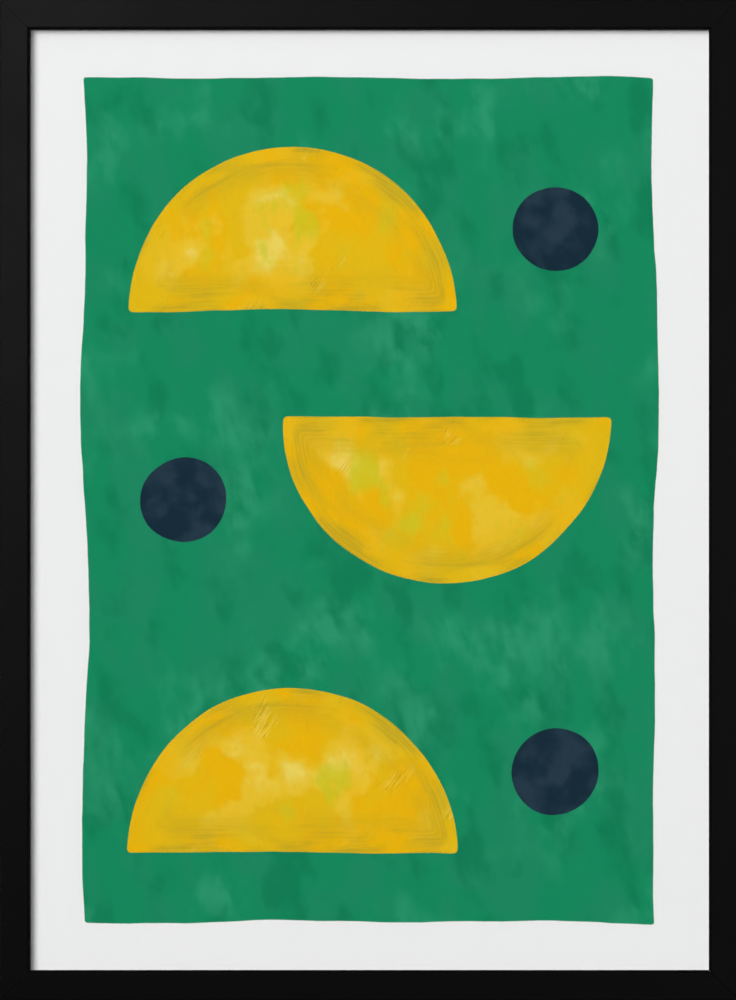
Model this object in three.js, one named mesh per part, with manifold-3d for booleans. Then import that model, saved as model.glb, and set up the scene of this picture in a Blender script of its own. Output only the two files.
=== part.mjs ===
// A framed art print, upright: four mitred wooden rails, clear glazing, a paper print, a
// backing board held by turn buttons, and hangers for hanging it either way up.
// Millimetres, +Z up. The picture faces -Y and the wall is the plane y = 0.
// The origin is the middle notch of the top hanger, on the line of the wall nail.
import * as THREE from "three";
import { mergeVertices } from "three/addons/utils/BufferGeometryUtils.js";
import Module from "manifold-3d";

// Frame and rail section
const FRAME_WIDTH = 532;
const FRAME_HEIGHT = 720;
const RAIL_FACE = 22;
const RAIL_DEPTH = 22;
const LIP_REACH = 6;
const LIP_THICKNESS = 5;
const FACE_ROUND = 1.2;
const LIP_ROUND = 2.2;
const BACK_ROUND = 0.8;
const REBATE_CHAMFER = 0.6;
const MITRE_GAP = 0.06;
const ARC_STEPS = 5;

// Sheets in the rebate, front to back
const SHEET_PLAY = 1;
const SHEET_GAP = 0.1;
const GLAZING_THICKNESS = 2;
const GLAZING_BEVEL = 0.25;
const PRINT_THICKNESS = 0.3;
const BOARD_THICKNESS = 3;

// Turn buttons, their groove in the rails, and their rivets
const BUTTON_THICKNESS = 1;
const BUTTON_TAIL_RADIUS = 6.5;
const BUTTON_TIP_RADIUS = 4.5;
const BUTTON_BITE = 3.2;
const BUTTON_PLAY = 0.15;
const RIB_LENGTH = 5;
const RIB_RADIUS = 1.3;
const RIB_RISE = 0.6;
const RIB_ARC_STEPS = 3;
const RIB_SIDES = 8;
const GROOVE_DEPTH = 4;
const GROOVE_BEHIND_BOARD = 0.7;
const RIVET_INSET = 18;
const RIVET_SHANK_RADIUS = 2;
const RIVET_HEAD_RADIUS = 4.2;
const RIVET_HEAD_RISE = 1.2;
const RIVET_HEAD_RIM = 0.4;
const RIVET_CROWN_RADIUS = 2.9;
const RIVET_DIMPLE_RADIUS = 1.5;
const RIVET_DIMPLE_DEPTH = 0.5;
const RIVET_TAIL_RADIUS = 3.2;
const RIVET_TAIL_THICKNESS = 0.7;
const RIVET_PLAY = 0.15;
const ROUND_SIDES = 20;
const BUTTON_OFFSET_SHORT = 130;
const BUTTON_OFFSET_LONG = 190;

// Corner wedges, each a steel vee driven into the back across the mitre
const WEDGE_WING = 7;
const WEDGE_THICKNESS = 0.5;
const WEDGE_DEPTH = 10;
const WEDGE_SUNK = 0.3;
const WEDGE_PLAY = 0.12;
const WEDGE_INSETS = [4.5, 11];

// Sawtooth hangers, their pins, and the wall pads
const HANGER_LENGTH = 46;
const HANGER_HEIGHT = 9;
const HANGER_THICKNESS = 0.8;
const HANGER_RISE = 1.9;
const HANGER_BRIDGE = 25;
const HANGER_RAMP = 4;
const HANGER_GAP = 0.05;
const TOOTH_PITCH = 3;
const TOOTH_DEPTH = 2;
const TOOTH_COUNT = 7;
const PIN_OFFSET = 19.6;
const PIN_HEAD_RADIUS = 1.9;
const PIN_HEAD_THICKNESS = 0.6;
const PIN_HEAD_RIM = 0.3;
const PIN_CROWN_RADIUS = 0.95;
const PIN_SHANK_RADIUS = 0.7;
const PIN_LENGTH = 9;
const PIN_POINT = 1.6;
const PIN_PLAY = 0.12;
const PIN_SIDES = 12;
const PAD_RADIUS = 5;
const PAD_FACE_RADIUS = 4.1;
const PAD_THICKNESS = 3;
const PAD_SHOULDER = 2;
const PAD_GAP = 0.05;
const PAD_INSET = 8;
const PAD_FROM_CORNER = 30;
const PAD_SIDES = 24;

// Depths from the front of the frame, worked out from the sizes above
const REBATE_WALL = RAIL_FACE - LIP_REACH;
const GLAZING_FRONT = LIP_THICKNESS + SHEET_GAP;
const PRINT_FRONT = GLAZING_FRONT + GLAZING_THICKNESS + SHEET_GAP;
const BOARD_FRONT = PRINT_FRONT + PRINT_THICKNESS + SHEET_GAP;
const BOARD_BACK = BOARD_FRONT + BOARD_THICKNESS;
const BUTTON_FRONT = BOARD_BACK + BUTTON_PLAY;
const BUTTON_BACK = BUTTON_FRONT + BUTTON_THICKNESS;
const GROOVE_START = BOARD_BACK - GROOVE_BEHIND_BOARD;
const GROOVE_END = BUTTON_BACK + BUTTON_PLAY;
const RIVET_HEAD_FRONT = BUTTON_BACK + BUTTON_PLAY;
const SHEET_WIDTH = FRAME_WIDTH - 2 * (REBATE_WALL + SHEET_PLAY);
const SHEET_HEIGHT = FRAME_HEIGHT - 2 * (REBATE_WALL + SHEET_PLAY);
const NOTCH_BELOW_TOP = (REBATE_WALL + HANGER_HEIGHT) / 2 - TOOTH_DEPTH;
const CUT_OVER = 1; // how far a cutter runs past the face it opens
const MERGE_WITHIN = 1e-4;

// The four sides, each as its turn about Y from the top side, its length, how far its outer
// edge lies from the centre, and how far its two buttons stand from its middle
const QUARTER = Math.PI / 2;
const SIDES = [
  { name: "top", turn: 0, length: FRAME_WIDTH, reach: FRAME_HEIGHT / 2, spread: BUTTON_OFFSET_SHORT },
  { name: "right", turn: 1, length: FRAME_HEIGHT, reach: FRAME_WIDTH / 2, spread: BUTTON_OFFSET_LONG },
  { name: "bottom", turn: 2, length: FRAME_WIDTH, reach: FRAME_HEIGHT / 2, spread: BUTTON_OFFSET_SHORT },
  { name: "left", turn: 3, length: FRAME_HEIGHT, reach: FRAME_WIDTH / 2, spread: BUTTON_OFFSET_LONG },
];
const HANGER_SIDES = ["top", "left"];

const wasm = await Module();
wasm.setup();

function finish(color, roughness, metalness) {
  return new THREE.MeshStandardMaterial({ color, roughness, metalness });
}
const blackLacquer = () => finish(0x151516, 0.5, 0);
const clearAcrylic = () => finish(0xf2f6f6, 0.05, 0);
const printPaper = () => finish(0x1c8a60, 0.7, 0);
const fibreBoard = () => finish(0x9c7a55, 0.8, 0);
const zincSteel = () => finish(0xb4b6b8, 0.35, 1);
const rivetAluminium = () => finish(0xc8c9ca, 0.3, 1);
const blackRubber = () => finish(0x3a3a3c, 0.7, 0);

function solidOf(geometry) {
  const bare = new THREE.BufferGeometry();
  bare.setAttribute("position", geometry.getAttribute("position"));
  bare.setIndex(geometry.index);
  const merged = mergeVertices(bare, MERGE_WITHIN);
  return new wasm.Manifold(
    new wasm.Mesh({
      numProp: 3,
      vertProperties: merged.getAttribute("position").array,
      triVerts: new Uint32Array(merged.index.array),
    }),
  );
}

function geometryOf(solid) {
  const mesh = solid.getMesh();
  const geometry = new THREE.BufferGeometry();
  geometry.setAttribute("position", new THREE.BufferAttribute(mesh.vertProperties, 3));
  geometry.setIndex(new THREE.BufferAttribute(mesh.triVerts, 1));
  geometry.computeVertexNormals();
  return geometry;
}

function cut(geometry, cutters) {
  return geometryOf(cutters.reduce((left, cutter) => left.subtract(solidOf(cutter)), solidOf(geometry)));
}

function piece(parent, name, geometry, material, x = 0, y = 0, z = 0) {
  const mesh = new THREE.Mesh(geometry, material);
  mesh.name = name;
  mesh.position.set(x, y, z);
  parent.add(mesh);
}

// A plate drawn in the plane of the picture, with its front face at depth 0
function plate(shape, thickness, curveSegments = ROUND_SIDES) {
  const geometry = new THREE.ExtrudeGeometry(shape, { depth: thickness, bevelEnabled: false, curveSegments });
  return geometry.rotateX(QUARTER).translate(0, thickness, 0);
}

// A turned piece on an axis that runs front to back, from [radius, depth] pairs, back to front
function turned(profile, sides = ROUND_SIDES) {
  return new THREE.LatheGeometry(profile.map(([radius, depth]) => new THREE.Vector2(radius, depth)), sides);
}

// The rail's section: x runs in from the outer edge, y runs back from the front face
function railSection() {
  const section = new THREE.Shape();
  section.moveTo(0, FACE_ROUND);
  section.absarc(FACE_ROUND, FACE_ROUND, FACE_ROUND, 2 * QUARTER, 3 * QUARTER);
  section.absarc(RAIL_FACE - LIP_ROUND, LIP_ROUND, LIP_ROUND, 3 * QUARTER, 4 * QUARTER);
  section.lineTo(RAIL_FACE, LIP_THICKNESS);
  section.lineTo(REBATE_WALL, LIP_THICKNESS);
  section.lineTo(REBATE_WALL, GROOVE_START);
  section.lineTo(REBATE_WALL - GROOVE_DEPTH, GROOVE_START);
  section.lineTo(REBATE_WALL - GROOVE_DEPTH, GROOVE_END);
  section.lineTo(REBATE_WALL, GROOVE_END);
  section.lineTo(REBATE_WALL, RAIL_DEPTH - REBATE_CHAMFER);
  section.lineTo(REBATE_WALL - REBATE_CHAMFER, RAIL_DEPTH);
  section.absarc(BACK_ROUND, RAIL_DEPTH - BACK_ROUND, BACK_ROUND, QUARTER, 2 * QUARTER);
  section.closePath();
  return section;
}

// The section drawn out to a rail along X, each end sheared to its mitre
function mitredRail(length) {
  const geometry = new THREE.ExtrudeGeometry(railSection(), {
    depth: 1,
    bevelEnabled: false,
    curveSegments: ARC_STEPS,
  });
  const points = geometry.getAttribute("position");
  for (let i = 0; i < points.count; i += 1) {
    const inward = points.getX(i);
    const reach = length - 2 * (inward + MITRE_GAP);
    points.setXYZ(i, (points.getZ(i) - 0.5) * reach, points.getY(i), -inward);
  }
  return geometry;
}

// One corner wedge in plan, its apex at 0 and its wings along the two rails, grown by play
function wedgeBody(play, depth) {
  const half = WEDGE_THICKNESS / 2 + play;
  const wing = WEDGE_WING + play;
  const vee = new THREE.Shape();
  vee.moveTo(half, half);
  vee.lineTo(-wing, half);
  vee.lineTo(-wing, -half);
  vee.lineTo(-half, -half);
  vee.lineTo(-half, -wing);
  vee.lineTo(half, -wing);
  vee.closePath();
  return plate(vee, depth);
}

// Slots for the wedges at both ends of a rail
function wedgeSlots(length) {
  const depth = WEDGE_DEPTH + WEDGE_SUNK + WEDGE_PLAY;
  const ends = [{ side: 1, turn: 0 }, { side: -1, turn: -QUARTER }];
  return ends.flatMap(({ side, turn }) =>
    WEDGE_INSETS.map((inset) =>
      wedgeBody(WEDGE_PLAY, depth + CUT_OVER)
        .rotateY(turn)
        .translate(side * (length / 2 - inset), RAIL_DEPTH - depth, -inset),
    ),
  );
}

// Holes for the two pins of a hanger in the middle of a rail
function pinHoles() {
  const radius = PIN_SHANK_RADIUS + PIN_PLAY;
  const depth = PIN_LENGTH + PIN_PLAY;
  return [-1, 1].map((side) =>
    new THREE.CylinderGeometry(radius, radius, depth + CUT_OVER, PIN_SIDES).translate(
      side * PIN_OFFSET,
      RAIL_DEPTH - (depth - CUT_OVER) / 2,
      -REBATE_WALL / 2,
    ),
  );
}

function rail(side) {
  const holes = HANGER_SIDES.includes(side.name) ? pinHoles() : [];
  return cut(mitredRail(side.length), [...wedgeSlots(side.length), ...holes]);
}

function glazingSheet() {
  const inset = GLAZING_BEVEL;
  const geometry = new THREE.ExtrudeGeometry(rectangle(SHEET_WIDTH - 2 * inset, SHEET_HEIGHT - 2 * inset), {
    depth: GLAZING_THICKNESS - 2 * inset,
    bevelSize: inset,
    bevelThickness: inset,
    bevelSegments: 1,
  });
  return geometry.rotateX(QUARTER).translate(0, GLAZING_THICKNESS - inset, 0);
}

function rectangle(width, height) {
  const shape = new THREE.Shape();
  shape.moveTo(-width / 2, -height / 2);
  shape.lineTo(width / 2, -height / 2);
  shape.lineTo(width / 2, height / 2);
  shape.lineTo(-width / 2, height / 2);
  shape.closePath();
  return shape;
}

// Where the eight rivets stand, as a side and a distance along it
function buttonPlaces() {
  return SIDES.flatMap((side) =>
    [-1, 1].map((end, i) => ({ name: `${side.name}_${i + 1}`, side, along: end * side.spread })),
  );
}

// The point of a place in the picture's plane, from the centre of the frame
function planePoint({ side, along }, inset) {
  const point = new THREE.Vector3(along, 0, side.reach - inset);
  return point.applyAxisAngle(new THREE.Vector3(0, 1, 0), side.turn * QUARTER);
}

// The backing board, drilled for the rivets and sunk on its front for their tails
function backingBoard() {
  const shank = RIVET_SHANK_RADIUS + RIVET_PLAY;
  const tail = RIVET_TAIL_RADIUS + RIVET_PLAY;
  const sunk = RIVET_TAIL_THICKNESS + 2 * RIVET_PLAY;
  const hole = [
    [0, BOARD_THICKNESS + CUT_OVER],
    [shank, BOARD_THICKNESS + CUT_OVER],
    [shank, sunk],
    [tail, sunk],
    [tail, -CUT_OVER],
    [0, -CUT_OVER],
  ];
  const cutters = buttonPlaces().map((place) => {
    const { x, z } = planePoint(place, REBATE_WALL + RIVET_INSET);
    return turned(hole.toReversed()).translate(x, 0, z);
  });
  return cut(plate(rectangle(SHEET_WIDTH, SHEET_HEIGHT), BOARD_THICKNESS), cutters);
}

// A turn button at rest: its tip points up, at the groove, and its rivet hole is at 0
function turnButton() {
  const span = RIVET_INSET + BUTTON_BITE - BUTTON_TIP_RADIUS;
  const slant = Math.asin((BUTTON_TAIL_RADIUS - BUTTON_TIP_RADIUS) / span);
  const outline = new THREE.Shape();
  outline.absarc(0, span, BUTTON_TIP_RADIUS, slant, 2 * QUARTER - slant);
  outline.absarc(0, 0, BUTTON_TAIL_RADIUS, 2 * QUARTER - slant, 4 * QUARTER + slant);
  const hole = new THREE.Path();
  hole.absarc(0, 0, RIVET_SHANK_RADIUS + RIVET_PLAY, 0, 4 * QUARTER);
  outline.holes.push(hole);
  const rib = new THREE.CapsuleGeometry(RIB_RADIUS, RIB_LENGTH, RIB_ARC_STEPS, RIB_SIDES)
    .rotateX(QUARTER)
    .scale(1, RIB_RISE / RIB_RADIUS, 1)
    .translate(0, BUTTON_THICKNESS, (RIVET_HEAD_RADIUS + RIVET_INSET) / 2);
  return geometryOf(solidOf(plate(outline, BUTTON_THICKNESS)).add(solidOf(rib)));
}

// A tubular rivet: domed head behind the button, shank through the board, clinched tail in front
function rivet() {
  const tailFront = BOARD_FRONT + RIVET_PLAY;
  const tailBack = tailFront + RIVET_TAIL_THICKNESS;
  const headBack = RIVET_HEAD_FRONT + RIVET_HEAD_RISE;
  const rimBack = RIVET_HEAD_FRONT + RIVET_HEAD_RIM;
  return turned([
    [0, tailFront],
    [RIVET_TAIL_RADIUS, tailFront],
    [RIVET_TAIL_RADIUS, tailBack],
    [RIVET_SHANK_RADIUS, tailBack],
    [RIVET_SHANK_RADIUS, RIVET_HEAD_FRONT],
    [RIVET_HEAD_RADIUS, RIVET_HEAD_FRONT],
    [RIVET_HEAD_RADIUS, rimBack],
    [RIVET_CROWN_RADIUS, headBack],
    [RIVET_DIMPLE_RADIUS, headBack],
    [RIVET_DIMPLE_RADIUS - RIVET_DIMPLE_DEPTH, headBack - RIVET_DIMPLE_DEPTH],
    [0, headBack - RIVET_DIMPLE_DEPTH],
  ]);
}

// The hanger's strip seen edge on: two tabs on the wood and a raised bridge between them
function hangerStrip() {
  const bridge = HANGER_BRIDGE / 2;
  const end = HANGER_LENGTH / 2;
  const under = [
    [-end, HANGER_GAP],
    [-bridge - HANGER_RAMP, HANGER_GAP],
    [-bridge, HANGER_RISE],
    [bridge, HANGER_RISE],
    [bridge + HANGER_RAMP, HANGER_GAP],
    [end, HANGER_GAP],
  ];
  const over = under.toReversed().map(([x, depth]) => [x, depth + HANGER_THICKNESS]);
  const outline = new THREE.Shape([...under, ...over].map(([x, depth]) => new THREE.Vector2(x, depth)));
  return new THREE.ExtrudeGeometry(outline, { depth: HANGER_HEIGHT, bevelEnabled: false }).translate(
    0,
    0,
    -HANGER_HEIGHT / 2,
  );
}

// The row of notches in the bridge's lower edge, one of them in the middle
function toothCutter() {
  const first = (-TOOTH_COUNT * TOOTH_PITCH) / 2;
  const comb = new THREE.Shape();
  comb.moveTo(first, -CUT_OVER);
  for (let i = 0; i < TOOTH_COUNT; i += 1) {
    comb.lineTo(first + i * TOOTH_PITCH, 0);
    comb.lineTo(first + (i + 0.5) * TOOTH_PITCH, TOOTH_DEPTH);
  }
  comb.lineTo(-first, 0);
  comb.lineTo(-first, -CUT_OVER);
  comb.closePath();
  return plate(comb, HANGER_RISE + HANGER_THICKNESS + CUT_OVER).translate(0, 0, -HANGER_HEIGHT / 2);
}

function sawtoothHanger() {
  const radius = PIN_SHANK_RADIUS + PIN_PLAY;
  const holes = [-1, 1].map((side) =>
    new THREE.CylinderGeometry(radius, radius, 2 * HANGER_RISE, PIN_SIDES).translate(side * PIN_OFFSET, 0, 0),
  );
  return cut(hangerStrip(), [toothCutter(), ...holes]);
}

function hangerPin() {
  const headFront = 2 * HANGER_GAP + HANGER_THICKNESS;
  return turned(
    [
      [0, -PIN_LENGTH],
      [PIN_SHANK_RADIUS, PIN_POINT - PIN_LENGTH],
      [PIN_SHANK_RADIUS, headFront],
      [PIN_HEAD_RADIUS, headFront],
      [PIN_HEAD_RADIUS, headFront + PIN_HEAD_RIM],
      [PIN_CROWN_RADIUS, headFront + PIN_HEAD_THICKNESS],
      [0, headFront + PIN_HEAD_THICKNESS],
    ],
    PIN_SIDES,
  );
}

function wallPad() {
  return turned(
    [
      [0, PAD_GAP],
      [PAD_RADIUS, PAD_GAP],
      [PAD_RADIUS, PAD_SHOULDER],
      [PAD_FACE_RADIUS, PAD_THICKNESS],
      [0, PAD_THICKNESS],
    ],
    PAD_SIDES,
  );
}

// A group whose +Z points out through one side of the frame
function sideGroup(frame, side) {
  const group = new THREE.Group();
  group.rotation.y = side.turn * QUARTER;
  frame.add(group);
  return group;
}

function addRails(frame) {
  for (const side of SIDES) {
    piece(sideGroup(frame, side), `rail_${side.name}`, rail(side), blackLacquer(), 0, 0, side.reach);
  }
}

function addWedges(frame) {
  const top = RAIL_DEPTH - WEDGE_SUNK - WEDGE_DEPTH;
  for (const side of SIDES) {
    WEDGE_INSETS.forEach((inset, i) => {
      const name = `corner_wedge_${side.name}_${i + 1}`;
      const x = side.length / 2 - inset;
      piece(sideGroup(frame, side), name, wedgeBody(0, WEDGE_DEPTH), zincSteel(), x, top, side.reach - inset);
    });
  }
}

function addSheets(frame) {
  const sheet = rectangle(SHEET_WIDTH, SHEET_HEIGHT);
  piece(frame, "glazing", glazingSheet(), clearAcrylic(), 0, GLAZING_FRONT, 0);
  piece(frame, "print_sheet", plate(sheet, PRINT_THICKNESS), printPaper(), 0, PRINT_FRONT, 0);
  piece(frame, "backing_board", backingBoard(), fibreBoard(), 0, BOARD_FRONT, 0);
}

function addButtons(frame) {
  for (const { name, side, along } of buttonPlaces()) {
    const group = sideGroup(frame, side);
    const z = side.reach - REBATE_WALL - RIVET_INSET;
    piece(group, `turn_button_${name}`, turnButton(), zincSteel(), along, BUTTON_FRONT, z);
    piece(group, `button_rivet_${name}`, rivet(), rivetAluminium(), along, 0, z);
  }
}

function addHangers(frame) {
  for (const side of SIDES.filter(({ name }) => HANGER_SIDES.includes(name))) {
    const group = sideGroup(frame, side);
    const z = side.reach - REBATE_WALL / 2;
    piece(group, `hanger_${side.name}`, sawtoothHanger(), zincSteel(), 0, RAIL_DEPTH, z);
    [-1, 1].forEach((end, i) => {
      const name = `hanger_pin_${side.name}_${i + 1}`;
      piece(group, name, hangerPin(), zincSteel(), end * PIN_OFFSET, RAIL_DEPTH, z);
    });
  }
}

function addPads(frame) {
  for (const side of [-1, 1]) {
    for (const level of [-1, 1]) {
      const name = `wall_pad_${level < 0 ? "low" : "high"}_${side < 0 ? "left" : "right"}`;
      const x = side * (FRAME_WIDTH / 2 - PAD_INSET);
      const z = level * (FRAME_HEIGHT / 2 - PAD_FROM_CORNER);
      piece(frame, name, wallPad(), blackRubber(), x, RAIL_DEPTH, z);
    }
  }
}

// The frame's own group: its centre in the picture's plane, depth 0 at its front face
const framedPrint = new THREE.Group();
const frame = new THREE.Group();
frame.position.set(0, -RAIL_DEPTH - PAD_THICKNESS, NOTCH_BELOW_TOP - FRAME_HEIGHT / 2);
framedPrint.add(frame);
addRails(frame);
addWedges(frame);
addSheets(frame);
addButtons(frame);
addHangers(frame);
addPads(frame);

export default framedPrint;
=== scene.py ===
import math

import bmesh
import bpy
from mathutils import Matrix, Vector


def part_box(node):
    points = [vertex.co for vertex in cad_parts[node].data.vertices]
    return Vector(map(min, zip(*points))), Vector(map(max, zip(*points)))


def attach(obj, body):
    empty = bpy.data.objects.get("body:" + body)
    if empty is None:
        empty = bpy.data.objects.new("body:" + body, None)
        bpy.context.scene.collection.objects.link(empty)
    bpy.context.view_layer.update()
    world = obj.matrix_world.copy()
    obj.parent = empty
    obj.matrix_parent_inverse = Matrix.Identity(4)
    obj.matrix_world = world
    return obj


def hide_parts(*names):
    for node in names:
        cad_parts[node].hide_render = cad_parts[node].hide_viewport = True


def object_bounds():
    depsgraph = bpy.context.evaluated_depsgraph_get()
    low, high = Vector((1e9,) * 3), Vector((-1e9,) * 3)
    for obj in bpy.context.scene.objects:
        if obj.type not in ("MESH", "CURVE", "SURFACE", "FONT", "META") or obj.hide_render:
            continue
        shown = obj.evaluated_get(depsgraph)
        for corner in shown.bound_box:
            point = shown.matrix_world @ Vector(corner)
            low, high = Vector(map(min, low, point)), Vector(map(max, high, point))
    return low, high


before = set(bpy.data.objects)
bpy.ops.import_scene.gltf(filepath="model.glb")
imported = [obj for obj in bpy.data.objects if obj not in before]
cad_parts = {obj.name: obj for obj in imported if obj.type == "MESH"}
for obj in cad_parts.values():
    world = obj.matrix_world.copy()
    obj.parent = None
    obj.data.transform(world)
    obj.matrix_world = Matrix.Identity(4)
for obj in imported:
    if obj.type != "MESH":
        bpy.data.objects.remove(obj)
cad_low, cad_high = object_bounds()

# ---- Camera ------------------------------------------------------------------------------------
# Square to the picture and far off, so that almost nothing but the face of the frame shows. The
# frame just fills the height of the image, and its middle stands a little right of the image's.
IMAGE_WIDTH_PX = 736
IMAGE_HEIGHT_PX = 1000
FRAME_HEIGHT_PX = 1002
FRAME_MIDDLE_PX = 369.5
CAMERA_DISTANCE = 5.0
SENSOR_MM = 36

rail_low, rail_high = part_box("rail_left")
front = rail_low.y
frame_height = rail_high.z - rail_low.z
middle = (rail_low.z + rail_high.z) / 2
image_height = frame_height * IMAGE_HEIGHT_PX / FRAME_HEIGHT_PX
aside = (IMAGE_WIDTH_PX / 2 - FRAME_MIDDLE_PX) * image_height / IMAGE_HEIGHT_PX
camera = bpy.data.objects.new("camera", bpy.data.cameras.new("camera"))
camera.data.sensor_width = SENSOR_MM
camera.data.lens = SENSOR_MM * CAMERA_DISTANCE / image_height
camera.location = (aside, front - CAMERA_DISTANCE, middle)
camera.rotation_euler = (math.radians(90), 0, 0)
bpy.context.scene.collection.objects.link(camera)
bpy.context.scene.camera = camera

# ---- Rails -------------------------------------------------------------------------------------
# Four lengths of planed hardwood, rebated, mitred and glued. They are stained black and lacquered,
# satin on the face and the sides and matt round the edge of the lip. The rebate and the back stay
# bare, but for some stain that ran over the edge.
SIDES = ("top", "right", "bottom", "left")
MM = 1000  # sizes on the frame are in millimetres, and depths are from its front face
REBATE_WALL = 16
LIP_REACH = 6
LIP_THICKNESS = 5
LACQUER_LAP = 0.2
STAIN_RUN = 0.7
STAIN_WAVE = 38
STAIN_SWAY = 2.4
STAIN_FADE = 0.7
SIGHT_EDGE_STARTS = 3.7
SIGHT_EDGE_FADE = 0.6
JOINT_WIDTH = 0.16
GRAIN_WIDTH = 0.8
GRAIN_LENGTH = 45
GRAIN_DEPTH = 0.08
FIGURE_WIDTH = 5
FIGURE_LENGTH = 170
HANDLED_PATCH = 60
SATIN_ROUGHNESS = 0.33
HANDLED_ROUGHER = 0.12
BARE_ROUGHER = 0.4
SIGHT_EDGE_ROUGHER = 0.45
LACQUER_SPECULAR = 0.28
RAIL_EDGE = 0.25
WELD_REACH = 0.01
FLAT_DEGREES = 1
SHARP_DEGREES = 35
LACQUER = (0.0012, 0.0012, 0.0013, 1)
LACQUER_WORN = (0.0032, 0.0032, 0.0031, 1)
WOOD_LIGHT = (0.6, 0.42, 0.25, 1)
WOOD_DARK = (0.43, 0.27, 0.14, 1)
WOOD_PORE = (0.2, 0.115, 0.06, 1)


class Wire:
    """A value that runs between the nodes of one material; sums on wires add Math nodes."""

    def __init__(self, tree, socket=None):
        self.tree = tree
        self.socket = socket

    def node(self, kind, settings=None, sockets=None, take=0):
        """Adds a node, makes its settings, then fills its sockets with values or wires."""
        made = self.tree.nodes.new(kind)
        for name, value in (settings or {}).items():
            setattr(made, name, value)
        for key, value in (sockets or {}).items():
            if isinstance(value, Wire):
                self.tree.links.new(value.socket, made.inputs[key])
            else:
                made.inputs[key].default_value = value
        return Wire(self.tree, made.outputs[take]) if len(made.outputs) else None

    def maths(self, operation, *others):
        """This wire and others through one Math node."""
        inputs = dict(enumerate((self, *others)))
        return self.node("ShaderNodeMath", {"operation": operation}, inputs)

    def __add__(self, other):
        return self.maths("ADD", other)

    def __sub__(self, other):
        return self.maths("SUBTRACT", other)

    def __rsub__(self, other):
        return self.maths("MULTIPLY_ADD", -1, other)

    def __mul__(self, other):
        return self.maths("MULTIPLY", other)

    def __pow__(self, power):
        return self.maths("POWER", power)

    def __abs__(self):
        return self.maths("ABSOLUTE")

    __radd__ = __add__
    __rmul__ = __mul__

    def most(self, other, blend=0.0):
        """The larger of two, their crossing rounded off over blend."""
        return self.maths("SMOOTH_MAX", other, blend) if blend else self.maths("MAXIMUM", other)

    def least(self, other):
        """The smaller of two."""
        return self.maths("MINIMUM", other)

    def reach(self, other):
        """The length of the diagonal over two offsets."""
        return (self * self + other * other).maths("SQRT")

    def ease(self, start, end):
        """0 at start, 1 at end and smooth between; start may be the larger."""
        inputs = {"Value": self, "From Min": start, "From Max": end}
        return self.node("ShaderNodeMapRange", {"interpolation_type": "SMOOTHSTEP"}, inputs)

    def tint(self, under, over):
        """One colour over another, with this wire as the share of the upper one."""
        inputs = {0: self, 6: under, 7: over}
        return self.node("ShaderNodeMix", {"data_type": "RGBA"}, inputs, take=2)

    def vector(self, operation, *others):
        """This wire and others through one Vector Math node."""
        inputs = dict(enumerate((self, *others)))
        return self.node("ShaderNodeVectorMath", {"operation": operation}, inputs)

    def axes(self):
        """The X, Y and Z of a place, each on a wire of its own."""
        split = self.node("ShaderNodeSeparateXYZ", sockets={0: self}).socket.node
        return [Wire(self.tree, output) for output in split.outputs]

    def noise(self, *size, seed=0, detail=3, swirl=0.0):
        """Cloudy noise over a place, its blotches of one size, or of a size along X, Y and Z."""
        along, back, up = size if len(size) == 3 else size * 3
        spread = self.vector("MULTIPLY_ADD", (1 / along, 1 / back, 1 / up), (seed, seed, seed))
        sockets = {"Vector": spread, "Scale": 1.0, "Detail": detail, "Distortion": swirl}
        return self.node("ShaderNodeTexNoise", sockets=sockets)

    def relief(self, depth, strength):
        """A normal that follows this wire as a height, depth millimetres from 0 to 1."""
        sockets = {"Strength": strength, "Distance": depth / MM, "Height": self}
        return self.node("ShaderNodeBump", sockets=sockets)


def new_finish(name):
    """A material, and the place on the piece in millimetres from the middle of the front."""
    finish = bpy.data.materials.new(name)
    finish.use_nodes = True
    finish.node_tree.nodes.clear()
    start = Wire(finish.node_tree)
    place = start.node("ShaderNodeTexCoord", take="Object")
    to_middle = (0, -front * MM, -middle * MM)
    return finish, place.vector("MULTIPLY_ADD", (MM, MM, MM), to_middle)


def surface(wire, sockets):
    """Ends a material in one Principled shader."""
    shader = wire.node("ShaderNodeBsdfPrincipled", sockets=sockets)
    wire.node("ShaderNodeOutputMaterial", sockets={"Surface": shader})


def lengthways(axis, width, length):
    """The size of blotches that are drawn out along one axis."""
    return [length if i == axis else width for i in range(3)]


def left_bare(place, depth, from_wall):
    """1 in the rebate and on the back, 0 under lacquer and where stain ran over the edge."""
    behind_lip = depth.ease(LIP_THICKNESS - LACQUER_LAP, LIP_THICKNESS - LACQUER_LAP / 4)
    off_lip_edge = from_wall.ease(LACQUER_LAP - LIP_REACH, LACQUER_LAP * 3 - LIP_REACH)
    ragged = from_wall + (place.noise(STAIN_WAVE, seed=2, detail=4) - 0.5) * STAIN_SWAY
    stain_end = REBATE_WALL - STAIN_RUN
    return behind_lip * off_lip_edge * ragged.ease(stain_end, stain_end - STAIN_FADE)


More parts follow.
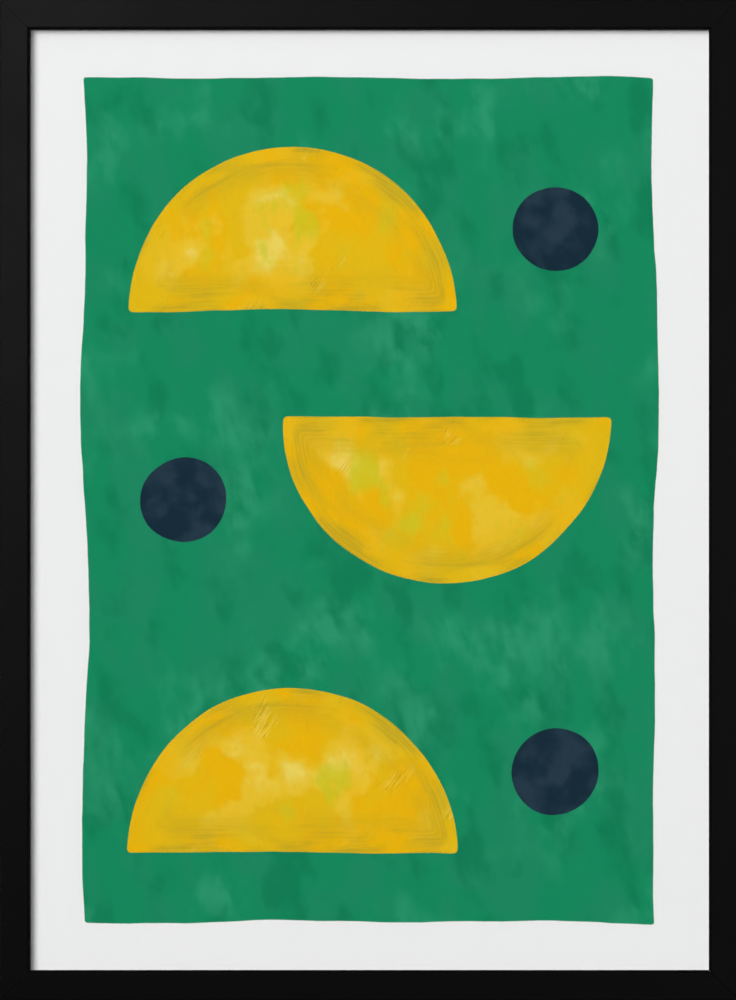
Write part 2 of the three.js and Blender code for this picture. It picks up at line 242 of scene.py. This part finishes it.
def lacquered_wood(name, axis):
    """Lacquer and bare wood, the grain along X (0) or Z (2)."""
    finish, place = new_finish(name)
    x, depth, z = place.axes()
    grain = place.noise(*lengthways(axis, GRAIN_WIDTH, GRAIN_LENGTH))
    figure = place.noise(*lengthways(axis, FIGURE_WIDTH, FIGURE_LENGTH), seed=5, swirl=0.5)
    handled = place.noise(HANDLED_PATCH, seed=9)
    from_side = abs(x) - cad_high.x * MM
    from_end = abs(z) - frame_height / 2 * MM
    joint = abs(from_side - from_end).ease(JOINT_WIDTH, JOINT_WIDTH / 2)
    from_wall = from_side.most(from_end) + REBATE_WALL
    sight_edge = from_wall.ease(-SIGHT_EDGE_STARTS, -SIGHT_EDGE_STARTS - SIGHT_EDGE_FADE)
    bare = left_bare(place, depth, from_wall) * (1 - joint)
    wood = figure.ease(0.35, 0.68).tint(WOOD_LIGHT, WOOD_DARK)
    wood = (grain.ease(0.54, 0.72) * 0.75).tint(wood, WOOD_PORE)
    lacquer = (grain.ease(0.5, 0.75) * 0.6).tint(LACQUER, LACQUER_WORN)
    rougher = handled * HANDLED_ROUGHER + bare * BARE_ROUGHER + sight_edge * SIGHT_EDGE_ROUGHER
    surface(place, {
        "Base Color": bare.tint(lacquer, wood),
        "Roughness": SATIN_ROUGHNESS + rougher,
        "Specular IOR Level": LACQUER_SPECULAR,
        "Normal": (grain * (0.4 + bare * 0.6)).relief(GRAIN_DEPTH, strength=0.5),
    })
    return finish


def ease_edges(piece, width):
    """Joins the triangles of a piece to whole faces and rounds off its sharp edges."""
    piece.modifiers.new("joined", "WELD").merge_threshold = WELD_REACH / MM
    faces = piece.modifiers.new("whole faces", "DECIMATE")
    faces.decimate_type = "DISSOLVE"
    faces.angle_limit = math.radians(FLAT_DEGREES)
    bevel = piece.modifiers.new("eased edges", "BEVEL")
    bevel.width = width / MM
    bevel.segments = 2
    bevel.limit_method = "ANGLE"
    bevel.angle_limit = math.radians(SHARP_DEGREES)
    bevel.harden_normals = True


def dress(node, finish, edge=0.0):
    """Gives a CAD piece its material and, where edge is set, eased edges."""
    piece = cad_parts[node]
    for slot in piece.material_slots:
        slot.material = finish
    if edge:
        ease_edges(piece, edge)


across = lacquered_wood("lacquered_wood_across", 0)
upright = lacquered_wood("lacquered_wood_upright", 2)
for side, rail_wood in zip(SIDES, (across, upright, across, upright)):
    dress(f"rail_{side}", rail_wood, RAIL_EDGE)

# ---- Corner wedges -----------------------------------------------------------------------------
# Vee-shaped steel wedges, two to a corner, driven flush across each mitre from the back to hold the
# glue line shut. They are zinc plated, and only their top edges show.
ZINC = (0.5, 0.51, 0.53, 1)
ZINC_WARM = (0.46, 0.43, 0.36, 1)
ZINC_DULL = (0.24, 0.25, 0.26, 1)
ZINC_CLOUD = 9
ZINC_STAIN = 3
ZINC_ROUGHNESS = 0.26
ROLLING_DEPTH = 0.02
WEDGE_ROLLING = (0.5, 6, 0.5)
WEDGE_EDGE = 0.08


def zinc_plate(name, rolling):
    """Bright zinc on pressed steel, with its passivation tint and the fine lines of rolling."""
    finish, place = new_finish(name)
    lines = place.noise(*rolling, seed=4)
    clouds = place.noise(ZINC_CLOUD, seed=12)
    stains = place.noise(ZINC_STAIN, seed=21, detail=4).ease(0.56, 0.7)
    colour = clouds.ease(0.35, 0.65).tint(ZINC, ZINC_WARM)
    surface(place, {
        "Base Color": (stains * 0.35).tint(colour, ZINC_DULL),
        "Metallic": 1.0,
        "Roughness": ZINC_ROUGHNESS + lines * 0.14 + stains * 0.18,
        "Normal": lines.relief(ROLLING_DEPTH, strength=0.4),
    })
    return finish


wedge_zinc = zinc_plate("zinc_wedge", WEDGE_ROLLING)
for side in SIDES:
    for number in (1, 2):
        dress(f"corner_wedge_{side}_{number}", wedge_zinc, WEDGE_EDGE)

# ---- Glazing -----------------------------------------------------------------------------------
# One sheet of clear acrylic, cut to the rebate with its edges broken. It is polished, so it only
# shows where it mirrors something, more so the flatter it is looked along.
GLAZING_MIRROR = 0.04
GLAZING_CLEAR = (0.985, 0.986, 0.986, 1)
GLAZING_ROUGHNESS = 0.02


def clear_acrylic():
    """A see-through pane under a mirror that grows stronger at a flat angle."""
    finish, start = new_finish("clear_acrylic")
    flatness = start.node("ShaderNodeLayerWeight", sockets={"Blend": 0.5}, take="Facing")
    mirrored = flatness**5 * (1 - GLAZING_MIRROR) + GLAZING_MIRROR
    clear = start.node("ShaderNodeBsdfTransparent", sockets={"Color": GLAZING_CLEAR})
    gloss = start.node("ShaderNodeBsdfAnisotropic", sockets={"Roughness": GLAZING_ROUGHNESS})
    pane = start.node("ShaderNodeMixShader", sockets={0: mirrored, 1: clear, 2: gloss})
    start.node("ShaderNodeOutputMaterial", sockets={"Surface": pane})
    return finish


dress("glazing", clear_acrylic())

# ---- Print -------------------------------------------------------------------------------------
# A sheet of heavy uncoated paper, printed from a painting in three colours: a green field with
# hand-cut edges, three broad yellow half rounds turned to and fro, and a dark blue dot beside each.
# The brush shows in soft patches, and as streaks that follow the outline of each half round.
FIELD_HALF_WIDTH = 205
FIELD_HALF_HEIGHT = 303
FIELD_CORNER = 3
FIELD_SWAY_X = 17
FIELD_SWAY_Z = 15
SWAY_LENGTH_X = 190
SWAY_LENGTH_Z = 170
ROW_PITCH = 195
HALF_ROUND_RADIUS = 118
HALF_ROUND_ASIDE = -55
HALF_ROUND_BASE = -59
DOT_RADIUS = 31
DOT_ASIDE = 134
SHAPE_CORNER = 6
SHAPE_SWAY = 8
HAND_SWAY = 3
HAND_LENGTH = 52
PAPER_TOOTH = 1.1
TOOTH_DEPTH = 0.04
PAPER_ROUGHNESS = 0.82
PAPER_SPECULAR = 0.05
INK_CREEP = 0.5
INK_EDGE = 0.3
STREAK_REACH = 38
PATCHES_FROM = 10
PATCHES_FULL = 36
STROKE_SLANT = 16
HATCH_SLANT = 34
PAPER_WHITE = (0.87, 0.87, 0.87, 1)
GREEN = (0.0083, 0.2612, 0.1169, 1)
GREEN_GREYED = (0.0135, 0.2561, 0.1240, 1)
GREEN_DEEP = (0.0052, 0.2102, 0.0926, 1)
GREEN_LIGHT = (0.031, 0.33, 0.168, 1)
YELLOW = (0.78, 0.502, 0.0085, 1)
YELLOW_ORANGE = (0.835, 0.48, 0.0037, 1)
YELLOW_LIGHT = (0.8228, 0.5647, 0.036, 1)
YELLOW_PALE = (0.8388, 0.6584, 0.117, 1)
LIME = (0.6038, 0.5776, 0.022, 1)
OCHRE = (0.5071, 0.3763, 0.02, 1)
OLIVE = (0.305, 0.2623, 0.0212, 1)
NAVY = (0.0082, 0.0262, 0.0442, 1)
NAVY_CLOUD = (0.0202, 0.0437, 0.0662, 1)


def slanted(place, degrees):
    """The same place, turned in the plane of the picture."""
    inputs = {"Vector": place, "Angle": math.radians(degrees)}
    return place.node("ShaderNodeVectorRotate", {"rotation_type": "Y_AXIS"}, inputs)


def painted_green(place):
    """Thin washes with darker pools, lit here and there by dry scumbling."""
    stroke = slanted(place, STROKE_SLANT)
    wash = stroke.noise(30, 30, 50, seed=15, detail=5)
    pools = stroke.noise(24, 24, 40, seed=17, detail=5)
    scumble = stroke.noise(14, 14, 26, seed=19, detail=4)
    lit = place.noise(58, 58, 80, seed=20)
    green = wash.ease(0.4, 0.62).tint(GREEN, GREEN_GREYED)
    green = (pools.ease(0.5, 0.68) * 0.8).tint(green, GREEN_DEEP)
    return (lit.ease(0.5, 0.66) * scumble.ease(0.38, 0.66) * 0.75).tint(green, GREEN_LIGHT)


def yellow_patches(place, inside):
    """Warm, light, pale and lime patches, most of them well inside the shape."""
    warm = place.noise(40, 40, 60, seed=24)
    light = place.noise(52, seed=26)
    pale = place.noise(26, seed=27, detail=4)
    lime = place.noise(28, 28, 44, seed=28, detail=4)
    yellow = warm.ease(0.42, 0.56).tint(YELLOW, YELLOW_ORANGE)
    yellow = (light.ease(0.5, 0.57) * (0.2 + inside * 0.6)).tint(yellow, YELLOW_LIGHT)
    yellow = (light.ease(0.55, 0.64) * pale.ease(0.42, 0.6) * inside).tint(yellow, YELLOW_PALE)
    return (lime.ease(0.56, 0.7) * (0.15 + inside * 0.55)).tint(yellow, LIME)


def painted_yellow(place, edge, along, up):
    """Patches with a few dry strokes, greyed in streaks that follow the edge of the shape."""
    outline = place.node("ShaderNodeCombineXYZ", sockets={0: along, 1: edge, 2: up})
    streaks = outline.noise(40, 1.4, 40, seed=22)
    bands = outline.noise(54, 20, 54, seed=23, detail=4)
    grain = place.noise(1.3, 1.3, 5, seed=29)
    strokes = slanted(place, -HATCH_SLANT).noise(1.1, 1.1, 12, seed=32, detail=2)
    dry = place.noise(30, seed=33, detail=4).ease(0.6, 0.74)
    greyed = edge.ease(-STREAK_REACH, -2) * bands.ease(0.4, 0.62)
    greyed = greyed * (0.5 + streaks.ease(0.4, 0.6) * 0.6)
    yellow = yellow_patches(place, edge.ease(-PATCHES_FROM, -PATCHES_FULL))
    yellow = (greyed * 0.75).tint(yellow, OCHRE)
    yellow = (strokes.ease(0.5, 0.36) * dry * 0.5).tint(yellow, YELLOW_PALE)
    olive = strokes.ease(0.54, 0.68) * dry + grain.ease(0.56, 0.76) * 0.3
    return (olive * 0.5).tint(yellow, OLIVE)


def painted_navy(place):
    """Dark blue with thinner clouds."""
    clouds = place.noise(17, seed=35, detail=5)
    return clouds.ease(0.4, 0.68).tint(NAVY, NAVY_CLOUD)


def field_edge(x, z):
    """How far a place is outside the green field; less than 0 is inside."""
    past_side = abs(x) - FIELD_HALF_WIDTH
    past_end = abs(z) - FIELD_HALF_HEIGHT
    return past_side.most(past_end, FIELD_CORNER)


def half_round_edge(along, up):
    """The same for the half round of a row."""
    rim = (along - HALF_ROUND_ASIDE).reach(up - HALF_ROUND_BASE) - HALF_ROUND_RADIUS
    return rim.most(HALF_ROUND_BASE - up, SHAPE_CORNER)


def in_its_row(x, z, shift_x, shift_z):
    """How far along and up a place is in its row; the middle row is turned half round."""
    row = (z * (1 / ROW_PITCH)).maths("ROUND").most(-1).least(1)
    turn = 1 - row.maths("COMPARE", 0.0, 0.5) * 2
    return (x + shift_x) * turn, (z - row * ROW_PITCH + shift_z) * turn


def print_paper():
    """The sheet, the field on it and a row of shapes that is drawn three times, to and fro."""
    finish, place = new_finish("print_paper")
    x, _, z = place.axes()
    sway_x = place.noise(SWAY_LENGTH_X, seed=3, detail=1) - 0.5
    sway_z = place.noise(SWAY_LENGTH_Z, seed=31, detail=1) - 0.5
    hand_x = (place.noise(HAND_LENGTH, seed=7, detail=2) - 0.5) * HAND_SWAY
    hand_z = (place.noise(HAND_LENGTH, seed=8, detail=2) - 0.5) * HAND_SWAY
    tooth = place.noise(PAPER_TOOTH, seed=1) - 0.5
    creep = tooth * INK_CREEP

    field_x = x + sway_x * FIELD_SWAY_X + hand_x
    field_z = z + sway_z * FIELD_SWAY_Z + hand_z
    field = field_edge(field_x, field_z) + creep
    along, up = in_its_row(x, z, sway_z * SHAPE_SWAY + hand_x, sway_x * SHAPE_SWAY + hand_z)
    half_round = half_round_edge(along, up) + creep
    dot = (along - DOT_ASIDE).reach(up) - DOT_RADIUS + creep

    printed = field.ease(INK_EDGE, -INK_EDGE)
    yellow = painted_yellow(place, half_round, along, up)
    ink = printed.tint(PAPER_WHITE, painted_green(place))
    ink = half_round.ease(INK_EDGE, -INK_EDGE).tint(ink, yellow)
    surface(place, {
        "Base Color": dot.ease(INK_EDGE, -INK_EDGE).tint(ink, painted_navy(place)),
        "Roughness": PAPER_ROUGHNESS - printed * 0.1 + tooth * 0.06,
        "Specular IOR Level": PAPER_SPECULAR,
        "Normal": tooth.relief(TOOTH_DEPTH, strength=0.4),
    })
    return finish


dress("print_sheet", print_paper())

# ---- Backing board -----------------------------------------------------------------------------
# A sheet of 3 mm fibreboard, sanded, sawn to size and drilled for the rivets. Its fibres show as
# pale and dark flecks, and the turn buttons have rubbed faint arcs into it.
BOARD_BROWN = (0.36, 0.225, 0.115, 1)
BOARD_PALE = (0.43, 0.285, 0.158, 1)
BOARD_FIBRE = (0.5, 0.35, 0.205, 1)
BOARD_FLECK = (0.17, 0.095, 0.045, 1)
BOARD_RUBBED = (0.27, 0.17, 0.09, 1)
BOARD_ROUGHNESS = 0.84
FIBRE_LYING = (5, 1, 0.7)
FIBRE_STANDING = (0.7, 1, 5)
FIBRE_DEPTH = 0.08
RUB_STARTS = 13.5
RUB_FULL = 15.5
RUB_FADES = 20
RUB_ENDS = 21.5
RUB_SWEEP = 16
RUB_RIPPLE = 1.9
BOARD_EDGE = 0.3


def middle_of(node):
    """The middle of a CAD node's box."""
    low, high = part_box(node)
    return (low + high) / 2


def from_middle(node):
    """How far a piece stands from the middle of the picture, sideways and up or down."""
    centre = middle_of(node)
    return abs(centre.x) * MM, abs(centre.z - middle) * MM


def rubbed_arcs(place, rivets):
    """Where the tips of the buttons have swept over the board, in broken rings round the rivets."""
    x, _, z = place.axes()
    offsets = [(abs(x) - aside).reach(abs(z) - up) for aside, up in rivets]
    off = offsets[0].least(offsets[1])
    ring = off.ease(RUB_STARTS, RUB_FULL) * off.ease(RUB_ENDS, RUB_FADES)
    swept = place.noise(RUB_SWEEP, seed=48).ease(0.36, 0.6)
    return ring * swept * (off * RUB_RIPPLE).maths("SINE").ease(-1.6, 1.4)


def fibre_board(rivets):
    """Pale fibres and dark flecks on brown; rivets are where one stands on each kind of side."""
    finish, place = new_finish("fibre_board")
    flat = place.noise(60, seed=41, detail=4)
    fibres = place.noise(*FIBRE_LYING, seed=43).most(place.noise(*FIBRE_STANDING, seed=44))
    specks = place.noise(1.5, seed=46)
    rub = rubbed_arcs(place, rivets)
    colour = (flat.ease(0.25, 0.75) * 0.4 + 0.15).tint(BOARD_BROWN, BOARD_PALE)
    colour = (fibres.ease(0.55, 0.72) * 0.5).tint(colour, BOARD_FIBRE)
    colour = (specks.ease(0.6, 0.7) * 0.6).tint(colour, BOARD_FLECK)
    surface(place, {
        "Base Color": (rub * 0.6).tint(colour, BOARD_RUBBED),
        "Roughness": BOARD_ROUGHNESS - rub * 0.25 + (fibres - 0.5) * 0.1,
        "Normal": (fibres * 0.6 + specks * 0.4).relief(FIBRE_DEPTH, strength=0.5),
    })
    return finish


board_rivets = [from_middle(f"button_rivet_{side}_1") for side in ("top", "left")]
dress("backing_board", fibre_board(board_rivets), BOARD_EDGE)

# ---- Turn buttons ------------------------------------------------------------------------------
# Eight tongues stamped out of 1 mm steel, each stiffened by a pressed rib, and zinc plated. They
# swing on their rivets; at rest their tips reach into the groove of the rail and hold the board in.
BUTTON_TAIL = 6.5
BUTTON_TIP = 4.5
BUTTON_SPAN = 16.7
BUTTON_HOLE = 2.15
BUTTON_FRONT = 10.75
BUTTON_BACK = 11.75
BUTTON_ROLLING = (5, 0.5, 0.4)
BUTTON_EDGE = 0.18
QUARTER_TURN = 90
RIB_START = 8.6
RIB_END = 13.6
RIB_HALF_WIDTH = 1.3
RIB_RISE = 0.6
RIB_STEP_DEGREES = 20
ARC_POINTS = 32


def ring_at(outline, depth, centre, turn=0):
    """An outline round a centre, at a depth behind the front, its top turned by degrees."""
    angle = math.radians(turn)
    across = Vector((math.cos(angle), 0, -math.sin(angle)))
    out = Vector((math.sin(angle), 0, math.cos(angle)))
    base = Vector((centre.x, front + depth / MM, centre.z))
    return [base + (across * u + out * v) / MM for u, v in outline]


def arc(radius, up, start, end):
    """Points along an arc from one angle to another, its centre a distance up from the rivet."""
    step = (end - start) / (ARC_POINTS - 1)
    angles = [math.radians(start + i * step) for i in range(ARC_POINTS)]
    return [(radius * math.cos(a), up + radius * math.sin(a)) for a in angles]


def skin(name, *lofts):
    """A mesh over lofts of rings: a loop where a loft ends on its first ring, else capped."""
    work = bmesh.new()
    for rings in lofts:
        looped = rings[0] is rings[-1]
        drawn = rings[:-1] if looped else rings
        made = [[work.verts.new(point) for point in ring] for ring in drawn]
        closing = made[:1] if looped else []
        for one, other in zip(made, made[1:] + closing):
            for i in range(len(one)):
                work.faces.new((one[i - 1], one[i], other[i], other[i - 1]))
        if not looped:
            work.faces.new(made[0])
            work.faces.new(made[-1])
    bmesh.ops.recalc_face_normals(work, faces=work.faces)
    mesh = bpy.data.meshes.new(name)
    work.to_mesh(mesh)
    work.free()
    mesh.shade_smooth()
    piece = bpy.data.objects.new(name, mesh)
    bpy.context.scene.collection.objects.link(piece)
    return piece


def settle(piece, node, finish, edge, body="frame"):
    """Finishes a piece, puts it in the place of a CAD node and lets it move with a body."""
    piece.data.materials.append(finish)
    ease_edges(piece, edge)
    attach(piece, body)
    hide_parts(node)


def button_plate(centre, turn):
    """The rings of the plate: its hole and outline in front, then its outline and hole behind."""
    lean = math.degrees(math.asin((BUTTON_TAIL - BUTTON_TIP) / BUTTON_SPAN))
    outline = arc(BUTTON_TIP, BUTTON_SPAN, lean, 180 - lean)
    outline += arc(BUTTON_TAIL, 0, 180 - lean, 360 + lean)
    bearings = [math.atan2(v, u) for u, v in outline]
    hole = [(BUTTON_HOLE * math.cos(a), BUTTON_HOLE * math.sin(a)) for a in bearings]
    rings = [ring_at(line, BUTTON_FRONT, centre, turn) for line in (hole, outline)]
    rings += [ring_at(line, BUTTON_BACK, centre, turn) for line in (outline, hole)]
    return rings + rings[:1]


def button_rib(centre, turn):
    """The rings of the rib, from the plate up to its crown."""
    rings = []
    for lift in range(0, QUARTER_TURN, RIB_STEP_DEGREES):
        radius = RIB_HALF_WIDTH * math.cos(math.radians(lift))
        depth = BUTTON_BACK + RIB_RISE * math.sin(math.radians(lift))
        line = arc(radius, RIB_END, 0, 180) + arc(radius, RIB_START, 180, 360)
        rings.append(ring_at(line, depth, centre, turn))
    return rings


button_zinc = zinc_plate("zinc_button", BUTTON_ROLLING)
for quarter, side in enumerate(SIDES):
    for number in (1, 2):
        rivet_place = middle_of(f"button_rivet_{side}_{number}")
        plate = button_plate(rivet_place, quarter * QUARTER_TURN)
        rib = button_rib(rivet_place, quarter * QUARTER_TURN)
        button = skin(f"stamped_button_{side}_{number}", plate, rib)
        node = f"turn_button_{side}_{number}"
        settle(button, node, button_zinc, BUTTON_EDGE, f"button_{side}_{number}")

# ---- Rivets ------------------------------------------------------------------------------------
# Tubular aluminium rivets, one through each turn button and the board. The domed head was formed in
# a set, which left a dimple in its middle, and the tail is spread flat in a sinking in front.
RIVET_SHANK = 2.0
RIVET_TAIL = 3.2
RIVET_HEAD = 4.2
RIVET_CROWN = 1.5
RIVET_DIMPLE = 1.05
RIVET_FRONT = 7.75
RIVET_TAIL_BACK = 8.45
RIVET_HEAD_FRONT = 11.9
RIVET_RIM = 12.25
RIVET_DIMPLE_FLOOR = 12.6
RIVET_BACK = 13.1
RIVET_EDGE = 0.12
BULGE_STEPS = 7
ROUND_SIDES = 64
ALUMINIUM = (0.68, 0.69, 0.7, 1)
ALUMINIUM_DULL = (0.42, 0.43, 0.44, 1)
ALUMINIUM_SCUFF = 2.5
ALUMINIUM_ROUGHNESS = 0.24
PIT_SIZE = 0.35
PIT_DEPTH = 0.03


def bulge(wide, narrow, start, end):
    """[radius, depth] pairs that curve over from a wide edge to a narrow top."""
    angles = [math.radians(QUARTER_TURN * i / BULGE_STEPS) for i in range(BULGE_STEPS + 1)]
    return [
        (narrow + (wide - narrow) * math.cos(a), start + (end - start) * math.sin(a))
        for a in angles
    ]


def turned(name, profile, centre, sides=ROUND_SIDES):
    """A round piece from [radius, depth] pairs, front to back, flat at both ends."""
    angles = [math.tau * i / sides for i in range(sides)]
    circle = [(math.cos(a), math.sin(a)) for a in angles]
    rings = []
    for radius, depth in profile:
        rings.append(ring_at([(radius * u, radius * v) for u, v in circle], depth, centre))
    return skin(name, rings)


def rivet_aluminium():
    """Soft bright metal, scuffed and finely pitted."""
    finish, place = new_finish("rivet_aluminium")
    scuffs = place.noise(ALUMINIUM_SCUFF, seed=52, detail=4)
    pitting = place.noise(PIT_SIZE, seed=54, detail=2)
    surface(place, {
        "Base Color": scuffs.ease(0.45, 0.7).tint(ALUMINIUM, ALUMINIUM_DULL),
        "Metallic": 1.0,
        "Roughness": ALUMINIUM_ROUGHNESS + scuffs * 0.22,
        "Normal": pitting.relief(PIT_DEPTH, strength=0.4),
    })
    return finish


rivet_profile = [
    (RIVET_TAIL, RIVET_FRONT),
    (RIVET_TAIL, RIVET_TAIL_BACK),
    (RIVET_SHANK, RIVET_TAIL_BACK),
    (RIVET_SHANK, RIVET_HEAD_FRONT),
    (RIVET_HEAD, RIVET_HEAD_FRONT),
    *bulge(RIVET_HEAD, RIVET_CROWN, RIVET_RIM, RIVET_BACK),
    (RIVET_DIMPLE, RIVET_DIMPLE_FLOOR),
]
rivet_metal = rivet_aluminium()
for side in SIDES:
    for number in (1, 2):
        node = f"button_rivet_{side}_{number}"
        rivet = turned(f"domed_rivet_{side}_{number}", rivet_profile, middle_of(node))
        settle(rivet, node, rivet_metal, RIVET_EDGE)

# ---- Hangers -----------------------------------------------------------------------------------
# Two sawtooth strips of zinc-plated steel, one for each way up. A strip's ends lie on the rail and
# its toothed middle is bridged clear of it for the nail. Each is held by two flat-headed pins.
HANGER_ROLLING = (6, 0.5, 0.5)
HANGER_EDGE = 0.1
PIN_POINT = 0.05
PIN_SHANK = 0.7
PIN_HEAD = 1.9
PIN_CROWN = 0.5
PIN_FRONT = 13
PIN_TAPER_BACK = 14.6
PIN_HEAD_FRONT = 22.9
PIN_RIM = 23.15
PIN_BACK = 23.5
PIN_SIDES = 40
PIN_EDGE = 0.08

hanger_zinc = zinc_plate("zinc_hanger", HANGER_ROLLING)
pin_profile = [
    (PIN_POINT, PIN_FRONT),
    (PIN_SHANK, PIN_TAPER_BACK),
    (PIN_SHANK, PIN_HEAD_FRONT),
    (PIN_HEAD, PIN_HEAD_FRONT),
    *bulge(PIN_HEAD, PIN_CROWN, PIN_RIM, PIN_BACK),
]
for side in ("top", "left"):
    dress(f"hanger_{side}", hanger_zinc, HANGER_EDGE)
    for number in (1, 2):
        node = f"hanger_pin_{side}_{number}"
        pin = turned(f"flat_pin_{side}_{number}", pin_profile, middle_of(node), PIN_SIDES)
        settle(pin, node, hanger_zinc, PIN_EDGE)

# ---- Wall pads ---------------------------------------------------------------------------------
# Four moulded rubber buttons glued to the back near the corners, which keep the frame off the wall
# and stop it sliding. The face is slightly dished, with the mark of the mould's gate in its middle.
PAD_RADIUS = 5.0
PAD_FACE = 4.1
PAD_DISH = 3.6
PAD_GATE = 0.7
PAD_FRONT = 22.05
PAD_SHOULDER = 24.0
PAD_BACK = 25.0
PAD_DISH_FLOOR = 24.82
PAD_GATE_BACK = 24.91
PAD_EDGE = 0.1
RUBBER = (0.014, 0.014, 0.015, 1)
RUBBER_CHALKED = (0.045, 0.044, 0.043, 1)
RUBBER_BLOOM = 2.5
RUBBER_ROUGHNESS = 0.62
RUBBER_GRAIN = 0.3
RUBBER_GRAIN_DEPTH = 0.05


def pad_rubber():
    """Black rubber with a chalky bloom."""
    finish, place = new_finish("pad_rubber")
    bloom = place.noise(RUBBER_BLOOM, seed=62, detail=4)
    grain = place.noise(RUBBER_GRAIN, seed=64, detail=2)
    surface(place, {
        "Base Color": bloom.ease(0.45, 0.75).tint(RUBBER, RUBBER_CHALKED),
        "Roughness": RUBBER_ROUGHNESS + bloom * 0.2,
        "Normal": grain.relief(RUBBER_GRAIN_DEPTH, strength=0.5),
    })
    return finish


pad_profile = [
    (PAD_RADIUS, PAD_FRONT),
    *bulge(PAD_RADIUS, PAD_FACE, PAD_SHOULDER, PAD_BACK),
    (PAD_DISH, PAD_DISH_FLOOR),
    (PAD_GATE, PAD_DISH_FLOOR),
    (PAD_GATE, PAD_GATE_BACK),
]
rubber = pad_rubber()
for level in ("low", "high"):
    for side in ("left", "right"):
        node = f"wall_pad_{level}_{side}"
        pad = turned(f"rubber_button_{level}_{side}", pad_profile, middle_of(node))
        settle(pad, node, rubber, PAD_EDGE)

# ---- Floor and light ---------------------------------------------------------------------------
# A plain pale floor just under the frame, which throws no light back on it. The main light is broad
# and comes from the left and a little above. Weaker ones stand in front, overhead and behind, and
# two panels give only the sheen of the lacquer. Sizes here are in metres.
FLOOR_PALE = (0.7, 0.7, 0.69, 1)
FLOOR_GAP = 0.0006
FLOOR_SIZE = 14.0
FLOOR_MOTTLE_MM = 300
FLOOR_ROUGHNESS = 0.7
SUN_DISTANCE = 3
MAIN_FROM = (-0.67, -1.0, 0.33)
MAIN_SPREAD = 33
MAIN_STRENGTH = 3.18
FILL_FROM = (-0.12, -1.0, 0.04)
FILL_SPREAD = 5
FILL_STRENGTH = 0.66
OVERHEAD_AT = (-0.4, -1.3, 1.3)
OVERHEAD_SIZE = 1.4
OVERHEAD_STRENGTH = 7.5
BEHIND_FROM = (0.5, 1.0, 0.5)
BEHIND_SPREAD = 26
BEHIND_STRENGTH = 2.2
ZENITH_FROM = (0, 0.12, 1.0)
ZENITH_SPREAD = 10
ZENITH_STRENGTH = 0.9
SHEEN_AIM = -0.2
SHEEN_PANELS = (
    {"at": (-0.613, -2.305, 0.858), "size": (0.37, 1.6), "strength": 6.4},
    {"at": (1.05, -2.06, -0.04), "size": (1.1, 1.1), "strength": 2.2},
)
BACKDROP = (0.6, 0.61, 0.62, 1)
BACKDROP_STARTS = -0.02
BACKDROP_FULL = 0.3
ROOM = (0.015, 0.015, 0.0155, 1)

floor_mesh = bpy.data.meshes.new("floor")
half_floor = FLOOR_SIZE / 2
corners = [(x * half_floor, y * half_floor, 0) for x, y in ((-1, -1), (1, -1), (1, 1), (-1, 1))]
floor_mesh.from_pydata(corners, [], [(0, 1, 2, 3)])
floor = bpy.data.objects.new("floor", floor_mesh)
floor.location = (0, 0, cad_low.z - FLOOR_GAP)
floor.visible_glossy = False
floor.visible_diffuse = False
bpy.context.scene.collection.objects.link(floor)
floor_finish, floor_place = new_finish("pale_floor")
mottle = floor_place.noise(FLOOR_MOTTLE_MM)
surface(floor_place, {"Base Color": FLOOR_PALE, "Roughness": FLOOR_ROUGHNESS + mottle * 0.1})
floor_mesh.materials.append(floor_finish)

picture = Vector((0, front, middle))


def place_light(name, kind, strength, at, aim, seen):
    """A light at a place, turned to another; seen says which rays meet it."""
    lamp = bpy.data.lights.new(name, kind)
    lamp.energy = strength
    light = bpy.data.objects.new(name, lamp)
    light.location = at
    light.rotation_euler = (Vector(aim) - Vector(at)).to_track_quat("-Z", "Y").to_euler()
    light.visible_camera = False
    for rays, met in seen.items():
        setattr(light, f"visible_{rays}", met)
    bpy.context.scene.collection.objects.link(light)
    return lamp


def place_sun(name, strength, direction, spread, **seen):
    """Light from one direction, softened over an angle in degrees."""
    at = picture + Vector(direction) * SUN_DISTANCE
    lamp = place_light(name, "SUN", strength, at, picture, seen)
    lamp.angle = math.radians(spread)


def place_panel(name, strength, at, aim, size, **seen):
    """A flat rectangular light."""
    lamp = place_light(name, "AREA", strength, at, aim, seen)
    lamp.shape = "RECTANGLE"
    lamp.size, lamp.size_y = size


place_sun("main", MAIN_STRENGTH, MAIN_FROM, MAIN_SPREAD, glossy=False)
place_sun("fill", FILL_STRENGTH, FILL_FROM, FILL_SPREAD, glossy=False)
overhead_size = (OVERHEAD_SIZE, OVERHEAD_SIZE)
place_panel("overhead", OVERHEAD_STRENGTH, OVERHEAD_AT, picture, overhead_size, glossy=False)
place_sun("behind", BEHIND_STRENGTH, BEHIND_FROM, BEHIND_SPREAD)
place_sun("zenith", ZENITH_STRENGTH, ZENITH_FROM, ZENITH_SPREAD, glossy=False)
panel_middle = Vector((0, 0, middle))
panel_aim = (SHEEN_AIM, 0, middle)
for panel in SHEEN_PANELS:
    panel_at = panel_middle + Vector(panel["at"])
    place_panel("sheen", panel["strength"], panel_at, panel_aim, panel["size"], diffuse=False)

world = bpy.data.worlds.new("studio")
world.use_nodes = True
world.node_tree.nodes.clear()
bpy.context.scene.world = world
studio = Wire(world.node_tree)
to_camera = studio.node("ShaderNodeLightPath", take="Is Camera Ray")
direction = studio.node("ShaderNodeTexCoord", take="Generated")
behind_frame = direction.axes()[1].ease(BACKDROP_STARTS, BACKDROP_FULL)
air_colour = to_camera.most(behind_frame).tint(ROOM, BACKDROP)
air = studio.node("ShaderNodeBackground", sockets={"Color": air_colour})
studio.node("ShaderNodeOutputWorld", sockets={"Surface": air})
bpy.context.scene.view_settings.view_transform = "Standard"
